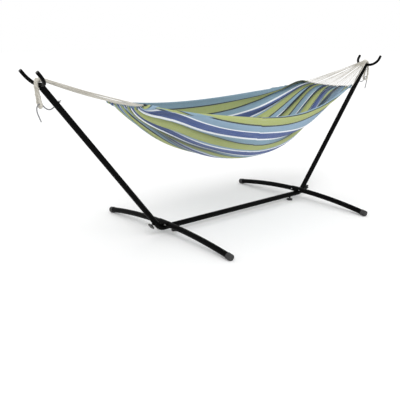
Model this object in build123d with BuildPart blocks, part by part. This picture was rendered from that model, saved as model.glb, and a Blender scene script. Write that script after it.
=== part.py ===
from build123d import *

import math
import os

# Garden hammock on a knock-down steel stand, in millimetres.
# +X runs along the hammock, +Z is up, and the origin is on the ground under the middle.
# Every piece that comes in a left and a right is drawn on the right (+X) and mirrored.

os.makedirs("parts", exist_ok=True)

# ---- driving dimensions of the stand ----
tube_d = 34.0            # round steel tube of the whole frame
tube_wall = 1.5
beam_z = 42.0            # height of the bottom beam's axis
bend_x = 647.0           # where the beam's axis and an arm's axis meet
bend_r = 60.0            # centre-line radius of the elbow
arm_top_x = 1353.0       # end of an arm's axis
arm_top_z = 928.0

elbow_wall = 3.2         # the elbow is thicker, so that its ends can be turned down
beam_joint_x = 572.0     # where the beam tube butts against the elbow
arm_joint = 36.0         # where the arm tube starts, measured up the arm from bend_x
spigot_length = 80.0     # turned-down end that slides into the beam or the arm

foot_x = 614.0           # the feet cross the frame just inside the elbows
foot_z = 68.0            # axis height at the crossing
foot_end_z = 17.7        # axis height at the end of the tube
foot_half = 592.0        # from the crossing to the end of the tube, along Y
foot_gap = 22.0          # the two half tubes of a foot stop this far from the middle
sleeve_d = 38.4
sleeve_half = 48.0
cap_d = 38.0
cap_skirt = 30.0
cap_end = 5.0
cap_chamfer = 2.5

# ---- fasteners ----
bolt_d = 6.0
bolt_hole_d = 6.4
bolt_y = 35.0            # foot bolts, from the middle of the crossing
bolt_head_d = 11.5
bolt_head_h = 4.0
bolt_tip = 2.0           # the bolt's end shows past its nut
nut_h = 5.0
stud_d = 8.0
stud_hole_d = 8.2        # running clearance in the welded nut
stud_gap = 0.4           # between the stud's tip and the elbow's turned-down end
stud_seat = 3.0          # plastic left between the stud and the face of the knob
wall_hole_d = 8.8
weld_nut_d = 15.0        # across the corners
weld_nut_h = 6.0
weld_nut_sink = 3.0      # the nut's underside is shaped to the tube, this deep at its edges
knob_d = 44.0
knob_h = 9.0
knob_lobes = 6
knob_cut_r = 7.0         # hollows between the lobes
knob_cut_at = 24.0       # from the knob's axis to the centre of a hollow
knob_round = 2.5
knob_hub_d = 17.0
knob_hub_h = 4.5
knob_reach = 22.5        # from the tube's surface to the face of the knob
knob_beam_x = 532.0
knob_arm = 60.0          # up the arm from bend_x

# ---- hook fork at the top of each arm ----
fork_d = 19.0
fork_wall = 1.5
fork_half = 93.0         # half the distance between the prongs' axes
fork_base = 12.0         # axis of the fork's base above the end of the arm's axis
fork_tip = 94.0
fork_bend = 62.0
arm_end = 8.0            # the coped end of the arm reaches this far past its axis point
plug_stem = 12.0
plug_face = 3.0
plug_taper = 15.0

# ---- hammock ----
swing_z = 962.0          # the hammock turns about a line along X, through both forks
neck_d = 29.0
neck_in_x = 1340.0
neck_out_x = 1362.0
neck_round = 4.0
bed_half = 912.0
bed_end_z = 817.0
bed_end_half = 190.0
bed_thick = 5.0
near_spread = 110.0      # extra half width of the near side (-Y) at the middle
far_spread = 69.0
near_sag = 134.0
far_sag = 61.0
near_skew = 0.38         # the near edge is lowest right of the middle, the far edge left of it
far_skew = -0.46
bed_end_depth = 16.0
bed_depth = 312.0        # depth gained from an end to the middle
belly_left = (2.2, 0.9)  # how full the left half is: depth follows (1 - station^a)^b
belly_right = (3.1, 3.4)
belly_shift = 42.0       # moves the belly under the swing line, so that the bed hangs level
bed_stations = 14        # lengths the bed is lofted in
bed_arc_steps = 8        # points across each section
string_count = 24
string_d = 3.0
string_pitch = 4.0
string_start = 1.5       # clear of the neck's face
string_rows = 4
string_gap = 1.0         # between a string's end and the bed

# ---- rope eye and tie cord at each end ----
eye_d = 13.0
eye_gap = 2.0            # between the neck and the eye
tie_d = 6.0
tie_hole_d = 9.0
tie_up = 1010.0          # where the tie cord goes through the arm, up from bend_x
knot_d = 14.0
knot_length = 10.0
knot_gap = 0.2           # between the knot and the arm
knot_round = 4.0

tube_r = tube_d / 2
tube_in_r = tube_r - tube_wall
arm_length = math.hypot(arm_top_x - bend_x, arm_top_z - beam_z)
arm_rise = math.atan2(arm_top_z - beam_z, arm_top_x - bend_x)
arm_dir = Vector(math.cos(arm_rise), 0, math.sin(arm_rise))
arm_out = Vector(math.sin(arm_rise), 0, -math.cos(arm_rise))   # square to the arm, outwards and down
bend_tangent = bend_r * math.tan(arm_rise / 2)

foot_drop = foot_z - foot_end_z
foot_r = (foot_half**2 + foot_drop**2) / (2 * foot_drop)

finished = {}


def on_arm(up, out=0.0):
    """Point of the right arm: up its axis from the bend, and out from the axis."""
    return Vector(bend_x, 0, beam_z) + arm_dir * up + arm_out * out


def keep(name, part):
    """Names a finished piece and writes it."""
    part.label = name
    export_step(part, f"parts/{name}.step")
    finished[name] = part


def keep_both(name, part):
    """Writes a right-hand piece and its mirror image on the left."""
    keep(f"{name}_right", part)
    with BuildPart() as left_hand:
        mirror(part, about=Plane.YZ)
    keep(f"{name}_left", left_hand.part)


# ---- bottom beam: one straight tube between the elbows, drilled below for the knobs ----
with BuildPart() as beam:
    with BuildSketch(Plane.YZ.offset(-beam_joint_x)):
        with Locations((0, beam_z)):
            Circle(tube_r)
            Circle(tube_in_r, mode=Mode.SUBTRACT)
    extrude(amount=2 * beam_joint_x)
    with BuildSketch(Plane.XY.offset(beam_z)):
        with Locations((-knob_beam_x, 0), (knob_beam_x, 0)):
            Circle(wall_hole_d / 2)
    extrude(amount=-tube_d, mode=Mode.SUBTRACT)
keep("beam_tube", beam.part)

# ---- elbow: bent tube whose two ends are turned down to slide into the beam and the arm ----
bend_start = (bend_x - bend_tangent, beam_z)
arm_joint_point = on_arm(arm_joint)
spigot_top = on_arm(arm_joint + spigot_length)
with BuildPart() as elbow:
    with BuildLine(Plane.XZ) as bend_line:
        Line((beam_joint_x, beam_z), bend_start)
        turn = TangentArc(bend_start, (on_arm(bend_tangent).X, on_arm(bend_tangent).Z), tangent=(1, 0))
        Line(turn @ 1, (arm_joint_point.X, arm_joint_point.Z))
    with BuildSketch(Plane.YZ.offset(beam_joint_x)):
        with Locations((0, beam_z)):
            Circle(tube_r)
            Circle(tube_r - elbow_wall, mode=Mode.SUBTRACT)
    sweep(path=bend_line.wires()[0])
    with BuildSketch(Plane.YZ.offset(beam_joint_x)):
        with Locations((0, beam_z)):
            Circle(tube_in_r)
            Circle(tube_r - elbow_wall, mode=Mode.SUBTRACT)
    extrude(amount=-spigot_length)
    with BuildSketch(Plane(origin=arm_joint_point, z_dir=arm_dir)):
        Circle(tube_in_r)
        Circle(tube_r - elbow_wall, mode=Mode.SUBTRACT)
    extrude(amount=spigot_length)
keep_both("elbow", elbow.part)

# ---- cross sleeve: short tube welded across the elbow, notched to sit down over it ----
foot_centre = (0, foot_z - foot_r)


def foot_arc(start_y, end_y):
    """Arc of a foot's axis from start_y to end_y, in the plane X = foot_x."""
    start = 90 - math.degrees(math.asin(start_y / foot_r))
    end = 90 - math.degrees(math.asin(end_y / foot_r))
    return CenterArc(foot_centre, foot_r, start, end - start)


with BuildPart() as sleeve:
    with BuildLine(Plane.YZ.offset(foot_x)) as sleeve_line:
        foot_arc(-sleeve_half, sleeve_half)
    with BuildSketch(Plane(origin=sleeve_line.line @ 0, z_dir=sleeve_line.line % 0)):
        Circle(sleeve_d / 2)
        Circle(tube_r, mode=Mode.SUBTRACT)
    sweep(path=sleeve_line.line)
    with BuildSketch(Plane.YZ.offset(beam_joint_x)):
        with Locations((0, beam_z)):
            Circle(tube_r)
    sweep(path=bend_line.wires()[0], mode=Mode.SUBTRACT)
    with BuildSketch(Plane.YZ.offset(foot_x - sleeve_d)):
        with Locations((-bolt_y, foot_z), (bolt_y, foot_z)):
            Circle(bolt_hole_d / 2)
    extrude(amount=2 * sleeve_d, mode=Mode.SUBTRACT)
keep_both("cross_sleeve", sleeve.part)

# ---- feet: two curved half tubes pushed into each sleeve, with a moulded cap on the end ----
foot_end_angle = math.asin(foot_half / foot_r)
with BuildPart() as foot:
    with BuildLine(Plane.YZ.offset(foot_x)) as foot_line:
        foot_arc(foot_gap, foot_half)
    with BuildSketch(Plane(origin=foot_line.line @ 0, z_dir=foot_line.line % 0)):
        Circle(tube_r)
        Circle(tube_in_r, mode=Mode.SUBTRACT)
    sweep(path=foot_line.line)
    with BuildSketch(Plane.YZ.offset(foot_x - tube_d)):
        with Locations((bolt_y, foot_z)):
            Circle(bolt_hole_d / 2)
    extrude(amount=2 * tube_d, mode=Mode.SUBTRACT)

foot_end = Plane(origin=foot_line.line @ 1, z_dir=foot_line.line % 1)
cap_start_y = foot_half - cap_skirt * math.cos(foot_end_angle)
with BuildPart() as cap:
    with BuildLine(Plane.YZ.offset(foot_x)) as skirt_line:
        foot_arc(cap_start_y, foot_half)
    with BuildSketch(Plane(origin=skirt_line.line @ 0, z_dir=skirt_line.line % 0)):
        Circle(cap_d / 2)
    sweep(path=skirt_line.line)
    with BuildSketch(foot_end):
        Circle(cap_d / 2)
    extrude(amount=cap_end)
    chamfer(cap.faces().sort_by(Axis.Y)[-1].edges(), cap_chamfer)
    with BuildSketch(Plane(origin=skirt_line.line @ 0, z_dir=skirt_line.line % 0)):
        Circle(tube_r)
    sweep(path=skirt_line.line, mode=Mode.SUBTRACT)
    # The sole is flat where the cap stands on the ground.
    split(bisect_by=Plane.XY, keep=Keep.TOP)

for side, about in (("rear", None), ("front", Plane.XZ)):
    for name, piece in (("foot_tube", foot.part), ("foot_cap", cap.part)):
        with BuildPart() as half:
            if about is None:
                add(piece)
            else:
                mirror(piece, about=about)
        keep_both(f"{name}_{side}", half.part)

# ---- foot bolts and nuts: one through each half tube, square to the foot ----
with BuildPart() as foot_bolt:
    with BuildSketch(Plane.YZ.offset(foot_x - sleeve_d / 2)):
        with Locations((-bolt_y, foot_z), (bolt_y, foot_z)):
            RegularPolygon(bolt_head_d / 2, 6)
    extrude(amount=-bolt_head_h)
    with BuildSketch(Plane.YZ.offset(foot_x - sleeve_d / 2)):
        with Locations((-bolt_y, foot_z), (bolt_y, foot_z)):
            Circle(bolt_d / 2)
    extrude(amount=sleeve_d + nut_h + bolt_tip)
with BuildPart() as foot_nut:
    with BuildSketch(Plane.YZ.offset(foot_x + sleeve_d / 2)):
        with Locations((-bolt_y, foot_z), (bolt_y, foot_z)):
            RegularPolygon(bolt_head_d / 2, 6)
            Circle(bolt_d / 2, mode=Mode.SUBTRACT)
    extrude(amount=nut_h)
keep_both("foot_bolts", foot_bolt.part)
keep_both("foot_nuts", foot_nut.part)

# ---- arm: straight tube, drilled for its knob and the tie cord, coped at the top for the fork ----
fork_centre = on_arm(arm_length + fork_base)
with BuildPart() as arm:
    with BuildSketch(Plane(origin=arm_joint_point, z_dir=arm_dir)):
        Circle(tube_r)
        Circle(tube_in_r, mode=Mode.SUBTRACT)
    extrude(amount=arm_length + arm_end - arm_joint)
    with BuildSketch(Plane(origin=on_arm(knob_arm), z_dir=arm_out)):
        Circle(wall_hole_d / 2)
    extrude(amount=tube_d, mode=Mode.SUBTRACT)
    with BuildSketch(Plane(origin=on_arm(tie_up, -tube_d), z_dir=arm_out)):
        Circle(tie_hole_d / 2)
    extrude(amount=2 * tube_d, mode=Mode.SUBTRACT)
    with BuildSketch(Plane(origin=fork_centre, z_dir=(0, 1, 0))):
        Circle(fork_d / 2)
    extrude(amount=tube_d, both=True, mode=Mode.SUBTRACT)
keep_both("arm", arm.part)

# ---- hook fork: thinner tube bent to a U and welded across the top of the arm ----
fork_plane = Plane(origin=on_arm(arm_length), x_dir=(0, 1, 0), z_dir=arm_out)
with BuildPart() as fork:
    with BuildLine(fork_plane) as fork_line:
        FilletPolyline(
            (-fork_half, fork_tip), (-fork_half, fork_base), (fork_half, fork_base), (fork_half, fork_tip),
            radius=fork_bend,
        )
    with BuildSketch(Plane(origin=fork_line.wires()[0] @ 0, z_dir=fork_line.wires()[0] % 0)):
        Circle(fork_d / 2)
        Circle(fork_d / 2 - fork_wall, mode=Mode.SUBTRACT)
    sweep(path=fork_line.wires()[0])
keep_both("hook_fork", fork.part)

with BuildPart() as plugs:
    for y in (-fork_half, fork_half):
        tip = on_arm(arm_length + fork_tip) + Vector(0, y, 0)
        with BuildSketch(Plane(origin=tip, z_dir=arm_dir)):
            Circle(fork_d / 2 - fork_wall)
        extrude(amount=-plug_stem)
        with BuildSketch(Plane(origin=tip, z_dir=arm_dir)):
            Circle(fork_d / 2)
        extrude(amount=plug_face, taper=plug_taper)
keep_both("fork_plugs", plugs.part)

# ---- clamp knobs: a star knob moulded on a threaded stud, in a nut welded to the tube ----
# Each knob screws in from outside and its stud bears on the elbow's turned-down end.
beam_seat = Plane(origin=(knob_beam_x, 0, beam_z), x_dir=(1, 0, 0), z_dir=(0, 0, -1))
arm_seat = Plane(origin=on_arm(knob_arm), x_dir=arm_dir, z_dir=arm_out)
knob_back = tube_r + knob_reach - knob_h
stud_end = knob_back + knob_h - stud_seat
for name, seat in (("beam", beam_seat), ("arm", arm_seat)):
    with BuildPart() as weld_nut:
        with BuildSketch(seat.offset(tube_r - weld_nut_sink)):
            RegularPolygon(weld_nut_d / 2, 6)
            Circle(stud_hole_d / 2, mode=Mode.SUBTRACT)
        extrude(amount=weld_nut_h + weld_nut_sink)
        with BuildSketch(Plane(origin=seat.origin, z_dir=seat.x_dir)):
            Circle(tube_r)
        extrude(amount=tube_d, both=True, mode=Mode.SUBTRACT)
    keep_both(f"weld_nut_{name}", weld_nut.part)

    with BuildPart() as knob:
        with BuildSketch(seat.offset(knob_back)) as star:
            Circle(knob_d / 2)
            with PolarLocations(knob_cut_at, knob_lobes):
                Circle(knob_cut_r, mode=Mode.SUBTRACT)
            fillet(star.vertices(), knob_round)
        extrude(amount=knob_h)
        with BuildSketch(seat.offset(knob_back - knob_hub_h)):
            Circle(knob_hub_d / 2)
        extrude(amount=knob_hub_h)
        with BuildSketch(seat.offset(knob_back - knob_hub_h)):
            Circle(stud_d / 2)
        extrude(amount=knob_hub_h + knob_h - stud_seat, mode=Mode.SUBTRACT)
    keep_both(f"knob_{name}", knob.part)

    with BuildPart() as stud:
        with BuildSketch(seat.offset(tube_in_r + stud_gap)):
            Circle(stud_d / 2)
        extrude(amount=stud_end - tube_in_r - stud_gap)
    keep_both(f"knob_stud_{name}", stud.part)

# ---- gathered neck: the whipping that binds all strings of one end, lying in the fork ----
with BuildPart() as neck:
    with BuildSketch(Plane.YZ.offset(neck_in_x)):
        with Locations((0, swing_z)):
            Circle(neck_d / 2)
    extrude(amount=neck_out_x - neck_in_x)
    fillet(neck.edges().filter_by(GeomType.CIRCLE), neck_round)
keep_both("gathered_neck", neck.part)

# ---- strings: they fan out from the neck to the gathered end of the bed ----
columns = string_count // string_rows
with BuildPart() as strings:
    for k in range(string_count):
        column, row = divmod(k, string_rows)
        start = Vector(
            neck_in_x - string_start,
            (column - (columns - 1) / 2) * string_pitch,
            swing_z + (row - (string_rows - 1) / 2) * string_pitch,
        )
        side = 2 * k / (string_count - 1) - 1
        end = Vector(
            bed_half + string_gap,
            side * (bed_end_half - bed_thick),
            bed_end_z - (bed_end_depth - bed_thick / 2) * math.sqrt(max(0, 1 - side**2)),
        )
        with BuildSketch(Plane(origin=start, z_dir=end - start)):
            Circle(string_d / 2)
        extrude(amount=(end - start).length)
keep_both("strings", strings.part)


# ---- bed: one trough of cloth; its cross-sections are half ellipses that deepen to the middle ----
def bed_section(station):
    """Near edge, far edge (Y, Z) and depth of the trough; station runs from -1 (left) to 1."""
    rise = 1 - station**2
    near = (-bed_end_half - near_spread * rise, bed_end_z - near_sag * rise * (1 + near_skew * station))
    far = (bed_end_half + far_spread * rise, bed_end_z - far_sag * rise * (1 + far_skew * station))
    fullness, taper = belly_left if station < 0 else belly_right
    depth = bed_end_depth + bed_depth * (1 - abs(station) ** fullness) ** taper
    return near, far, depth


def bed_curve(station, inset):
    """Points across the trough, from the near edge to the far edge, inset from its outside."""
    near, far, depth = bed_section(station)
    middle = ((near[0] + far[0]) / 2, (near[1] + far[1]) / 2)
    half = math.dist(near, far) / 2
    along = ((far[0] - near[0]) / (2 * half), (far[1] - near[1]) / (2 * half))
    shift = belly_shift * (1 - station**2)
    points = []
    for step in range(bed_arc_steps + 1):
        angle = math.pi * step / bed_arc_steps
        reach = -(half - inset) * math.cos(angle)
        drop = (depth - inset) * math.sin(angle)
        points.append((
            middle[0] + along[0] * reach + shift * math.sin(angle),
            middle[1] + along[1] * reach - drop,
        ))
    return points


with BuildPart() as bed:
    for index in range(bed_stations + 1):
        station = 2 * index / bed_stations - 1
        outside = bed_curve(station, 0)
        inside = bed_curve(station, bed_thick)
        with BuildSketch(Plane.YZ.offset(station * bed_half)):
            with BuildLine():
                Spline(*outside)
                Line(outside[-1], inside[-1])
                Spline(*inside)
                Line(inside[0], outside[0])
            make_face()
    loft(ruled=True)
keep("bed", bed.part)


# ---- free cords: straight runs joined by arcs as large as the runs allow ----
def cord_radii(points):
    """Radius of each corner: 0.45 of its shorter run over the tangent of half its turn."""
    radii = []
    for before, corner, after in zip(points, points[1:], points[2:]):
        turn = math.radians((corner - before).get_angle(after - corner))
        shorter = min((corner - before).length, (after - corner).length)
        radii.append(0.45 * shorter / math.tan(turn / 2))
    return radii


def cord_tube(name, route, diameter):
    """Sweeps a round cord along its route and reports its radii, length and volume."""
    points = [Vector(*point) for point in route]
    radii = cord_radii(points)
    with BuildPart() as cord:
        with BuildLine() as line:
            FilletPolyline(*points, radius=radii)
        wire = line.wires()[0]
        with BuildSketch(Plane(origin=wire @ 0, z_dir=wire % 0)):
            Circle(diameter / 2)
        sweep(path=wire)
    expected = wire.length * math.pi * diameter**2 / 4
    print(name, "length", round(wire.length, 1), "volume ratio", round(cord.part.volume / expected, 4))
    print("  radii", [round(radius, 1) for radius in radii])
    return cord.part


# The rope eye leaves the neck, drops over the fork's base and hangs down outside the arm.
eye_leg = [
    (neck_out_x + eye_gap, 7.3, swing_z),
    (1375.0, 7.4, 961.2),
    (1382.5, 7.8, 949.0),
    (1384.0, 8.5, 929.0),
    (1381.0, 11.0, 897.0),
    (1375.0, 15.0, 862.0),
    (1367.0, 17.5, 825.0),
]
eye_route = eye_leg + [(x, -y, z) for x, y, z in reversed(eye_leg)]
keep_both("rope_eye", cord_tube("rope_eye", eye_route, eye_d))

# The tie cord is knotted inside the arm's upper side, goes through the arm and the eye, and hangs.
knot_face = on_arm(tie_up, -tube_r - knot_gap)
tie_bend = on_arm(tie_up, 23.0)
tie_route = [
    (knot_face.X, 0.0, knot_face.Z),
    (tie_bend.X, 0.0, tie_bend.Z),
    (1314.0, -2.0, 809.0),
    (1336.0, -5.0, 816.0),
    (1353.0, -5.5, 833.0),
    (1367.0, -3.0, 849.0),
    (1386.0, 0.0, 845.0),
    (1396.0, 2.0, 828.0),
    (1395.0, 3.5, 806.0),
    (1388.0, 3.0, 782.0),
    (1377.0, 1.0, 758.0),
]
keep_both("tie_cord", cord_tube("tie_cord", tie_route, tie_d))

with BuildPart() as knot:
    with BuildSketch(Plane(origin=knot_face, z_dir=-arm_out)):
        Circle(knot_d / 2)
    extrude(amount=knot_length)
    fillet(knot.edges().filter_by(GeomType.CIRCLE), knot_round)
keep_both("tie_knot", knot.part)

# ---- summary ----
hanging = [finished[name] for name in ("bed", "strings_left", "strings_right")]
weight = sum(piece.volume for piece in hanging)
balance = sum((piece.center(CenterOf.MASS) * piece.volume for piece in hanging), Vector()) / weight
print("hammock balance point", [round(value, 1) for value in balance])
box = Compound(children=list(finished.values())).bounding_box()
print("whole size", [round(value, 1) for value in box.size], "lowest", round(box.min.Z, 3))
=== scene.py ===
import math
import random

import bpy
import numpy as np
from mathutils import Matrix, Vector


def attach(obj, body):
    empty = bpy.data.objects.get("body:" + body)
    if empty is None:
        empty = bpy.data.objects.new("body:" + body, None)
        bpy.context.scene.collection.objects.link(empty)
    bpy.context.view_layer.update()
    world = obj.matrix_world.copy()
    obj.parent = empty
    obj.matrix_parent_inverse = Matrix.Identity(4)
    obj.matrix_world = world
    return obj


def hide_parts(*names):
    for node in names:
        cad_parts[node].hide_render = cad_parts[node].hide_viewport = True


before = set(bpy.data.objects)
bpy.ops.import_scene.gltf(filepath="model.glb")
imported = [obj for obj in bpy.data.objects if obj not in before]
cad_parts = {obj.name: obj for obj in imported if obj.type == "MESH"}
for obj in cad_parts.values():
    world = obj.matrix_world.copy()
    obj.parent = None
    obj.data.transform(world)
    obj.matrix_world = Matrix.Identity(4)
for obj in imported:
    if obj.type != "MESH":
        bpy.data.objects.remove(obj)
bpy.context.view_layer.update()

# ---- studio ----
# A pale floor under even, soft light from large panels, seen from the left front corner,
# a little above the height of the hooks.


def plain_material(name, colour, roughness):
    material = bpy.data.materials.new(name)
    material.use_nodes = True
    shader = material.node_tree.nodes["Principled BSDF"]
    shader.inputs["Base Color"].default_value = (*colour, 1)
    shader.inputs["Roughness"].default_value = roughness
    shader.inputs["Specular IOR Level"].default_value = 0.1
    return material


floor_half = 30.0
floor_mesh = bpy.data.meshes.new("floor")
floor_mesh.from_pydata(
    [(-floor_half, -floor_half, 0), (floor_half, -floor_half, 0),
     (floor_half, floor_half, 0), (-floor_half, floor_half, 0)],
    [], [(0, 1, 2, 3)],
)
floor = bpy.data.objects.new("floor", floor_mesh)
floor_mesh.materials.append(plain_material("pale_floor", (0.96, 0.96, 0.96), 0.9))
bpy.context.scene.collection.objects.link(floor)

world = bpy.data.worlds.new("studio")
world.use_nodes = True
backdrop = world.node_tree.nodes["Background"]
backdrop.inputs["Color"].default_value = (1.0, 1.0, 1.0, 1)
seen_directly = world.node_tree.nodes.new("ShaderNodeLightPath")
brightness = world.node_tree.nodes.new("ShaderNodeMapRange")
brightness.inputs["To Min"].default_value = 0.8
brightness.inputs["To Max"].default_value = 1.0
world.node_tree.links.new(seen_directly.outputs["Is Camera Ray"], brightness.inputs["Value"])
world.node_tree.links.new(brightness.outputs["Result"], backdrop.inputs["Strength"])
bpy.context.scene.world = world
bpy.context.scene.view_settings.view_transform = "Standard"

# Name, where the light comes from, strength, and how wide the source looks, in degrees.
for name, place, strength, width in (
    ("key_light", (-2.0, -2.6, 3.4), 1.15, 40),
    ("top_light", (0.6, 0.8, 4.0), 0.30, 90),
):
    lamp = bpy.data.lights.new(name, "SUN")
    lamp.energy = strength
    lamp.angle = math.radians(width)
    panel = bpy.data.objects.new(name, lamp)
    panel.rotation_mode = "QUATERNION"
    panel.rotation_quaternion = (-Vector(place)).to_track_quat("-Z", "Y")
    bpy.context.scene.collection.objects.link(panel)

lens = bpy.data.cameras.new("camera")
lens.lens = 53.35
lens.sensor_width = 36.0
camera = bpy.data.objects.new("camera", lens)
camera.location = (-2.6749, -2.7404, 1.1867)
camera.rotation_mode = "QUATERNION"
camera.rotation_quaternion = Vector((0.62551, 0.73056, -0.27390)).to_track_quat("-Z", "Y")
bpy.context.scene.collection.objects.link(camera)
bpy.context.scene.camera = camera

# ---- powder-coated frame ----
# The beam, elbows, cross sleeves, arms, feet and hook forks are round steel tube, bent and
# welded, then coated with satin black powder that leaves a faint orange peel.
# The beam and the arms slip over the elbows, and each foot is two half tubes in a sleeve.


def srgb(red, green, blue):
    """Linear colour from the 0-255 numbers of a colour card."""
    return tuple((c / 255 / 12.92) if c <= 10 else ((c / 255 + 0.055) / 1.055) ** 2.4
                 for c in (red, green, blue))


def new_group(name, inputs):
    """Empty shader node group with a Vector and number inputs, and Color, Roughness and Height out."""
    group = bpy.data.node_groups.new(name, "ShaderNodeTree")
    group.interface.new_socket("Vector", in_out="INPUT", socket_type="NodeSocketVector")
    for label, kind, value in inputs:
        socket = group.interface.new_socket(label, in_out="INPUT", socket_type=f"NodeSocket{kind}")
        socket.default_value = value
    for label, kind in (("Color", "Color"), ("Roughness", "Float"), ("Height", "Float")):
        group.interface.new_socket(label, in_out="OUTPUT", socket_type=f"NodeSocket{kind}")
    return group, group.nodes.new("NodeGroupInput"), group.nodes.new("NodeGroupOutput")


def noise(group, vector, scale, detail=2.0):
    node = group.nodes.new("ShaderNodeTexNoise")
    node.inputs["Scale"].default_value = scale
    node.inputs["Detail"].default_value = detail
    group.links.new(vector, node.inputs["Vector"])
    return node.outputs["Fac"]


def stretched(group, vector, factors):
    """The vector with each of its parts multiplied."""
    node = group.nodes.new("ShaderNodeVectorMath")
    node.operation = "MULTIPLY"
    node.inputs[1].default_value = factors
    group.links.new(vector, node.inputs[0])
    return node.outputs["Vector"]


def spread(group, value, low, high, source=(0.0, 1.0)):
    """The value's source range made to run from low to high."""
    node = group.nodes.new("ShaderNodeMapRange")
    node.inputs["From Min"].default_value, node.inputs["From Max"].default_value = source
    for socket, given in ((node.inputs["To Min"], low), (node.inputs["To Max"], high)):
        if isinstance(given, (int, float)):
            socket.default_value = given
        else:
            group.links.new(given, socket)
    group.links.new(value, node.inputs["Value"])
    return node.outputs["Result"]


def arithmetic(group, operation, first, second=0.0):
    node = group.nodes.new("ShaderNodeMath")
    node.operation = operation
    for socket, given in zip(node.inputs, (first, second)):
        if isinstance(given, (int, float)):
            socket.default_value = given
        else:
            group.links.new(given, socket)
    return node.outputs["Value"]


def mixed(group, factor, first, second, blend="MIX"):
    node = group.nodes.new("ShaderNodeMix")
    node.data_type = "RGBA"
    node.blend_type = blend
    for label, given in (("Factor", factor), ("A", first), ("B", second)):
        kind = "NodeSocketFloatFactor" if label == "Factor" else "NodeSocketColor"
        socket = next(s for s in node.inputs if s.name == label and s.bl_idname == kind)
        if isinstance(given, (int, float)):
            socket.default_value = given
        elif isinstance(given, tuple):
            socket.default_value = (*given, 1)[:4]
        else:
            group.links.new(given, socket)
    return next(s for s in node.outputs if s.bl_idname == "NodeSocketColor")


hard_skin, skin_in, skin_out = new_group("hard_skin", [
    ("Color", "Color", (0.02, 0.02, 0.02, 1)), ("Worn Color", "Color", (0.1, 0.1, 0.1, 1)),
    ("Wear", "Float", 0.3), ("Grain Scale", "Float", 1500.0), ("Gloss", "Float", 0.4),
])
skin_vector = skin_in.outputs["Vector"]
skin_grain = hard_skin.nodes.new("ShaderNodeTexNoise")
skin_grain.inputs["Detail"].default_value = 1.0
hard_skin.links.new(skin_vector, skin_grain.inputs["Vector"])
hard_skin.links.new(skin_in.outputs["Grain Scale"], skin_grain.inputs["Scale"])
skin_scuffs = spread(hard_skin, noise(hard_skin, skin_vector, 26.0, 8.0), 0.0, 1.0, (0.56, 0.74))
skin_worn = arithmetic(hard_skin, "MULTIPLY", skin_scuffs, skin_in.outputs["Wear"])
skin_colour = mixed(hard_skin, skin_worn, skin_in.outputs["Color"], skin_in.outputs["Worn Color"])
hard_skin.links.new(skin_colour, skin_out.inputs["Color"])
skin_smudge = spread(hard_skin, noise(hard_skin, skin_vector, 9.0, 4.0), -0.06, 0.08, (0.3, 0.7))
skin_rough = arithmetic(hard_skin, "ADD", skin_in.outputs["Gloss"], skin_smudge)
hard_skin.links.new(arithmetic(hard_skin, "ADD", skin_rough, arithmetic(
    hard_skin, "MULTIPLY", skin_worn, 0.2)), skin_out.inputs["Roughness"])
hard_skin.links.new(skin_grain.outputs["Fac"], skin_out.inputs["Height"])


def finish(name, group, values, bump, depth, vector="Object"):
    """Material whose colour, roughness and bump come from a group; the shader stays in the material."""
    material = bpy.data.materials.new(name)
    material.use_nodes = True
    tree = material.node_tree
    effect = tree.nodes.new("ShaderNodeGroup")
    effect.node_tree = group
    for label, value in values.items():
        effect.inputs[label].default_value = (*value, 1) if isinstance(value, tuple) else value
    place = tree.nodes.new("ShaderNodeTexCoord")
    tree.links.new(place.outputs[vector], effect.inputs["Vector"])
    shader = tree.nodes["Principled BSDF"]
    tree.links.new(effect.outputs["Color"], shader.inputs["Base Color"])
    tree.links.new(effect.outputs["Roughness"], shader.inputs["Roughness"])
    relief = tree.nodes.new("ShaderNodeBump")
    relief.inputs["Strength"].default_value = bump
    relief.inputs["Distance"].default_value = depth
    tree.links.new(effect.outputs["Height"], relief.inputs["Height"])
    tree.links.new(relief.outputs["Normal"], shader.inputs["Normal"])
    return material, shader


def wear_finish(nodes, material):
    """Gives CAD pieces their material."""
    for name in nodes:
        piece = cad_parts[name]
        piece.data.materials.clear()
        piece.data.materials.append(material)


def sides(*names):
    return [f"{name}_{side}" for name in names for side in ("left", "right")]


powder_coat, powder_shader = finish("powder_coat", hard_skin, {
    "Color": (0.0012, 0.0012, 0.0013), "Worn Color": (0.006, 0.006, 0.0063), "Wear": 0.25,
    "Grain Scale": 1400.0, "Gloss": 0.42}, 0.25, 0.0004)
powder_shader.inputs["Specular IOR Level"].default_value = 0.05
wear_finish(["beam_tube"] + sides(
    "elbow", "cross_sleeve", "arm", "hook_fork", "foot_tube_front", "foot_tube_rear",
    "weld_nut_beam", "weld_nut_arm"), powder_coat)

# ---- weld beads ----
# Rippled fillet welds where each cross sleeve sits on its elbow, where a hook fork lies in the
# coped end of its arm, and round the nuts. They lie under the same powder coat.
tube_r = 0.017
beam_z = 0.042
bend_x = 0.647
arm_top = (1.353, 0.928)
foot_x = 0.614
sleeve_z = 0.068
sleeve_r = 0.0192
fork_r = 0.0095
fork_base = 0.012
arm_end = 0.008
arm_length = math.hypot(arm_top[0] - bend_x, arm_top[1] - beam_z)
arm_rise = math.atan2(arm_top[1] - beam_z, arm_top[0] - bend_x)
arm_dir = np.array((math.cos(arm_rise), 0, math.sin(arm_rise)))
arm_out = np.array((math.sin(arm_rise), 0, -math.cos(arm_rise)))
across = np.array((0.0, 1.0, 0.0))


def on_arm(up, out=0.0, side=0.0):
    """Point of the right arm: up its axis from the bend, out from the axis, and sideways."""
    return np.array((bend_x, 0, beam_z)) + arm_dir * up + arm_out * out + across * side


def unit(vectors):
    return vectors / np.maximum(np.linalg.norm(vectors, axis=-1, keepdims=True), 1e-12)


def distances(points):
    """How far along a line of points each of them lies."""
    return np.concatenate(([0], np.cumsum(np.linalg.norm(np.diff(points, axis=0), axis=1))))


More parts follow.
